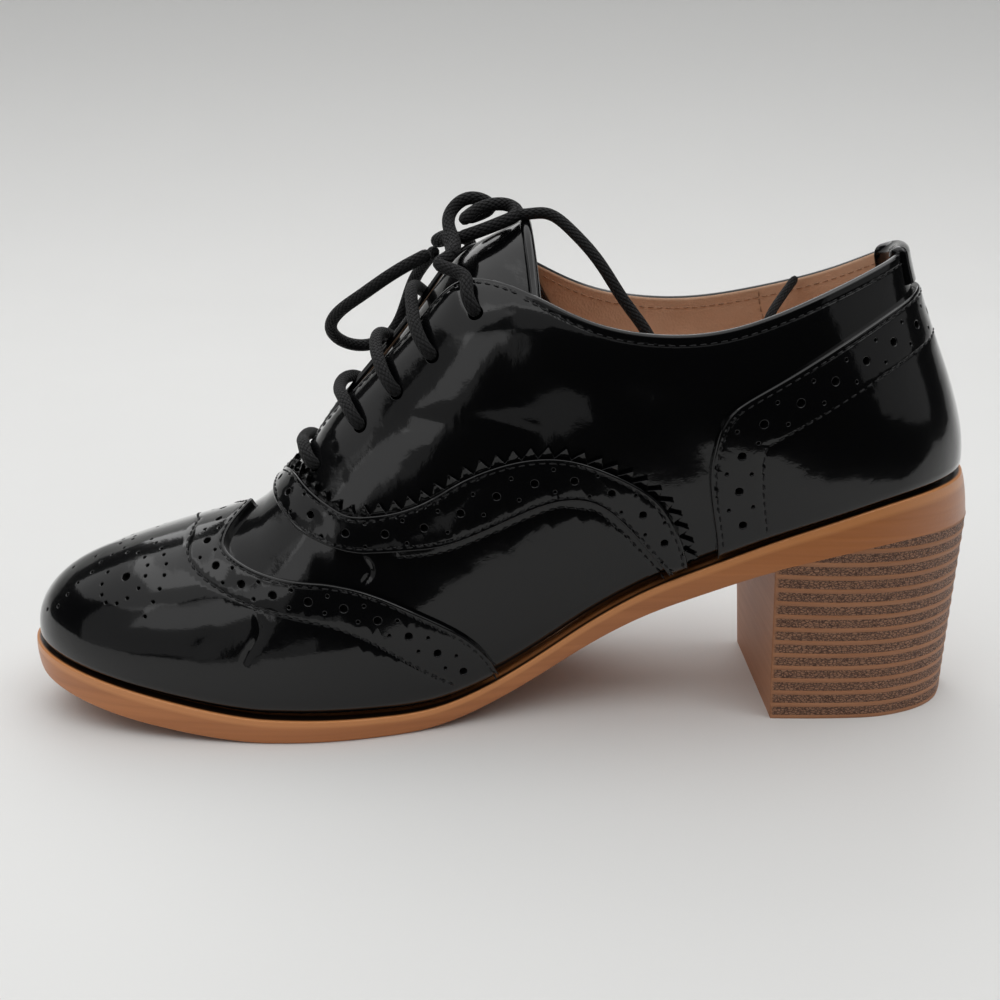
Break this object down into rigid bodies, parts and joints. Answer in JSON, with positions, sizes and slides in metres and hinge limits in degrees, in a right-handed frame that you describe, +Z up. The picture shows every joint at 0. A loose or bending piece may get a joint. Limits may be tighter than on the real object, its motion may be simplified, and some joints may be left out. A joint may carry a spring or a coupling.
{
  "type": "shoe",
  "caption": "Women's black patent wingtip oxford shoe on a stacked block heel, right foot, with a tan leather sole and a round black lace tied in a loose bow",
  "frame": {"origin": "centre of the shoe's footprint on the floor it stands on", "axes": "+X to the heel, -X to the toe, +Y to the outer (right) side, -Y to the inner side, +Z up"},
  "size_m": [0.244, 0.0838, 0.1299],
  "materials": {
    "patent_black": "patent leather, mirror gloss with slight ripples",
    "sole_tan": "smooth tan sole edge, satin",
    "heel_stack": "moulded stack, worm-grain bands between smooth thin ridges",
    "insole_tan": "smooth lining leather, matt",
    "lace_black": "round braided cotton, matt"
  },
  "bodies": {
    "root": {"outsole": "sole_tan", "heel": "heel_stack", "insole": "insole_tan", "upper": "patent_black", "tongue": "patent_black", "toe_cap": "patent_black", "vamp_band": "patent_black", "heel_counter": "patent_black", "back_strip": "patent_black", "lace_bar_1": "lace_black", "lace_bar_2": "lace_black", "lace_bar_3": "lace_black", "lace_bar_4": "lace_black", "lace_rise_near": "lace_black", "lace_rise_far": "lace_black", "lace_knot": "lace_black", "lace_loop_front": "lace_black", "lace_loop_upper": "lace_black", "lace_loop_back": "lace_black", "lace_end_long": "lace_black"}
  },
  "joints": []
}
